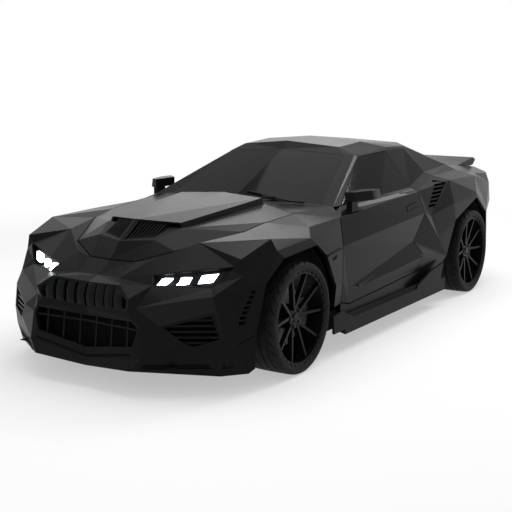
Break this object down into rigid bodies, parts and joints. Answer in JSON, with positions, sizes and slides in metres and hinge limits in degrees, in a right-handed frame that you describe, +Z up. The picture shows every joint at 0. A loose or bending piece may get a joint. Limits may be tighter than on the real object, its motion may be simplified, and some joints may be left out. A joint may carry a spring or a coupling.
{
  "type": "muscle coupe",
  "caption": "All-black faceted wide-body muscle coupe with opening doors, hood and trunk lid, steered front wheels and free-rolling wheels.",
  "frame": {"origin": "on the ground below the middle of the wheelbase", "axes": "-Y towards the nose, +X towards the car's left side, +Z up"},
  "size_m": [1.97, 4.9, 1.3899],
  "materials": {
    "tyre": "matte",
    "rim_black": "satin",
    "cast_metal": "rough",
    "body_paint": "satin",
    "tinted_glass": "polished",
    "underbody": "matte",
    "trim_black": "matte",
    "radiator_metal": "satin",
    "exhaust_steel": "brushed",
    "seat_leather": "matte",
    "dash_plastic": "matte",
    "grille_black": "satin",
    "lamp_red": "polished",
    "lamp_clear": "polished",
    "buffer_rubber": "matte"
  },
  "bodies": {
    "root": {"fender_left": "body_paint", "side_frame_left": "body_paint", "fender_right": "body_paint", "side_frame_right": "body_paint", "front_suspension": "cast_metal", "rear_suspension": "cast_metal", "floor_pan": "underbody", "firewall": "underbody", "front_rails": "underbody", "arch_liners": "trim_black", "engine_block": "cast_metal", "radiator": "radiator_metal", "driveline": "cast_metal", "exhaust": "exhaust_steel", "front_seats": "seat_leather", "rear_bench": "seat_leather", "dashboard": "dash_plastic", "steering_wheel": "seat_leather", "front_bumper": "body_paint", "front_grilles": "grille_black", "cowl_panel": "trim_black", "roof_panel": "body_paint", "windshield": "tinted_glass", "rear_window": "tinted_glass", "rear_bumper": "body_paint", "tail_lamps": "lamp_red", "front_splitter": "trim_black", "rear_diffuser": "trim_black", "hood_buffers": "buffer_rubber", "side_skirts": "trim_black", "headlamps": "trim_black", "quarter_glass": "tinted_glass", "headlamp_lights": "lamp_clear", "side_vents": "trim_black"},
    "hood": {"hood": "body_paint", "hood_scoop": "body_paint"},
    "trunk_lid": {"trunk_lid": "body_paint", "rear_spoiler": "body_paint"},
    "door_left": {"door_left": "body_paint", "door_glass_left": "tinted_glass", "mirror_left": "body_paint"},
    "knuckle_left": {"knuckle_front_left": "cast_metal"},
    "wheel_front_left": {"tyre_front_left": "tyre", "rim_front_left": "rim_black"},
    "wheel_rear_left": {"tyre_rear_left": "tyre", "rim_rear_left": "rim_black"},
    "door_right": {"door_right": "body_paint", "door_glass_right": "tinted_glass", "mirror_right": "body_paint"},
    "knuckle_right": {"knuckle_front_right": "cast_metal"},
    "wheel_front_right": {"tyre_front_right": "tyre", "rim_front_right": "rim_black"},
    "wheel_rear_right": {"tyre_rear_right": "tyre", "rim_rear_right": "rim_black"}
  },
  "joints": [
    {"name": "steering_left", "type": "hinge", "parent": "root", "child": "knuckle_left", "pos_m": [0.78, -1.47, 0.36], "axis": [0, 0, 1], "range_deg": [-34, 34]},
    {"name": "steering_right", "type": "hinge", "parent": "root", "child": "knuckle_right", "pos_m": [-0.78, -1.47, 0.36], "axis": [0, 0, 1], "range_deg": [-34, 34]},
    {"name": "wheel_spin_front_left", "type": "hinge", "parent": "knuckle_left", "child": "wheel_front_left", "pos_m": [0.8425, -1.47, 0.36], "axis": [1, 0, 0], "continuous": true},
    {"name": "wheel_spin_rear_left", "type": "hinge", "parent": "root", "child": "wheel_rear_left", "pos_m": [0.8425, 1.47, 0.36], "axis": [1, 0, 0], "continuous": true},
    {"name": "wheel_spin_front_right", "type": "hinge", "parent": "knuckle_right", "child": "wheel_front_right", "pos_m": [-0.8425, -1.47, 0.36], "axis": [1, 0, 0], "continuous": true},
    {"name": "wheel_spin_rear_right", "type": "hinge", "parent": "root", "child": "wheel_rear_right", "pos_m": [-0.8425, 1.47, 0.36], "axis": [1, 0, 0], "continuous": true},
    {"name": "door_hinge_left", "type": "hinge", "parent": "root", "child": "door_left", "pos_m": [0.9455, -0.882, 0.62], "axis": [0, 0, -1], "range_deg": [0, 65]},
    {"name": "door_hinge_right", "type": "hinge", "parent": "root", "child": "door_right", "pos_m": [-0.9455, -0.882, 0.62], "axis": [0, 0, 1], "range_deg": [0, 65]},
    {"name": "hood_hinge", "type": "hinge", "parent": "root", "child": "hood", "pos_m": [0, -0.74, 0.98], "axis": [-1, 0, 0], "range_deg": [0, 50]},
    {"name": "trunk_hinge", "type": "hinge", "parent": "root", "child": "trunk_lid", "pos_m": [0, 1.524, 1.1], "axis": [1, 0, 0], "range_deg": [0, 60]}
  ],
  "couplings": [
    {"joint": "steering_right", "follows": "steering_left", "ratio": 1}
  ]
}
